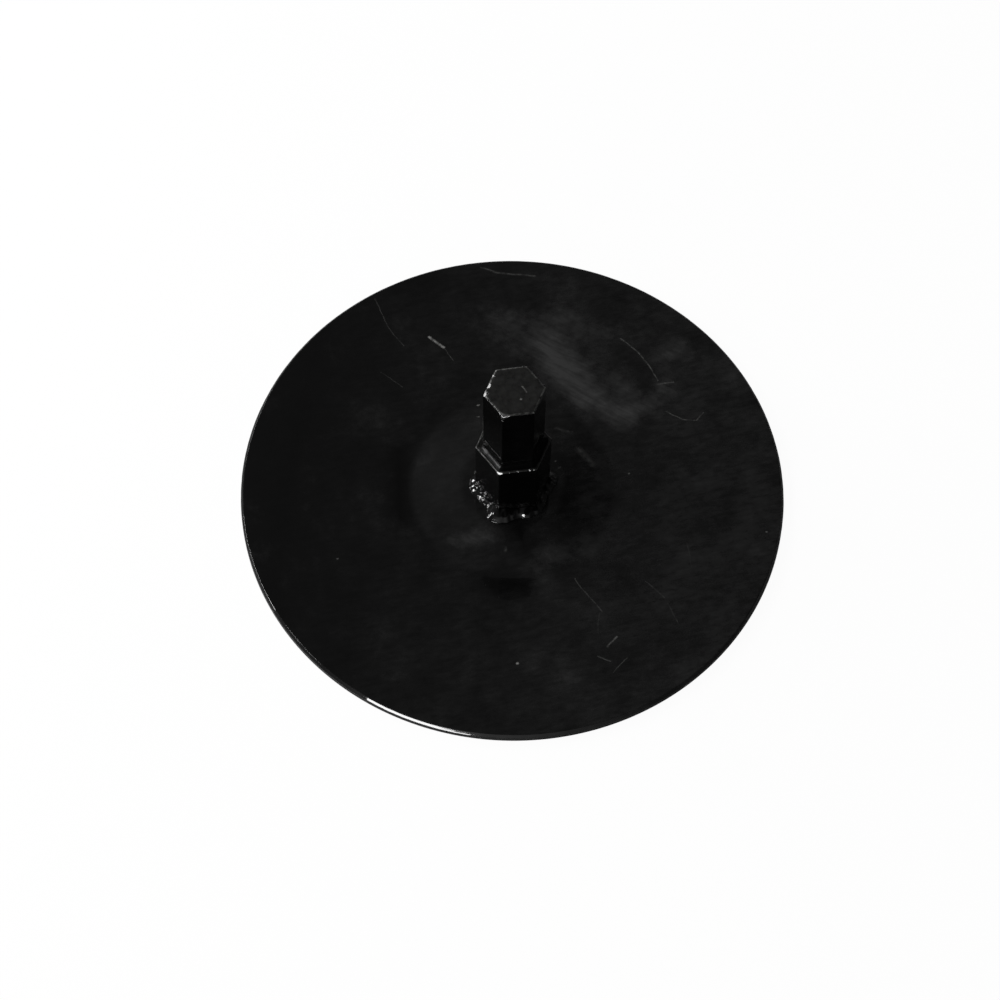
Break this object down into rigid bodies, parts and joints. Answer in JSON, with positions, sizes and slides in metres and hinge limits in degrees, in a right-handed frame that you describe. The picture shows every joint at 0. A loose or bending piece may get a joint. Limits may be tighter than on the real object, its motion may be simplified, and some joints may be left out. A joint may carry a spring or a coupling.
{
  "type": "brush cutter disc with hexagonal drive stub",
  "caption": "Round flat painted steel disc with a low raised boss and a stepped hexagonal drive stub welded upright at its centre.",
  "frame": {"origin": "on the disc's axis, at the level of the flat underside of its rim", "axes": "+Z along the axis towards the free end of the drive stub; +X through a corner of both hexagons; +Y square to a flat of both hexagons"},
  "size_m": [0.25, 0.25, 0.089],
  "materials": {
    "disc_paint": "black gloss enamel, wiped and lightly scratched",
    "hub_paint": "black gloss enamel on drawn hexagonal stock",
    "weld_paint": "black gloss enamel over a rippled weld bead"
  },
  "bodies": {
    "root": {"disc": "disc_paint", "hex_collar": "hub_paint", "hex_stub": "hub_paint", "base_weld": "weld_paint", "ledge_weld": "weld_paint"}
  },
  "joints": []
}
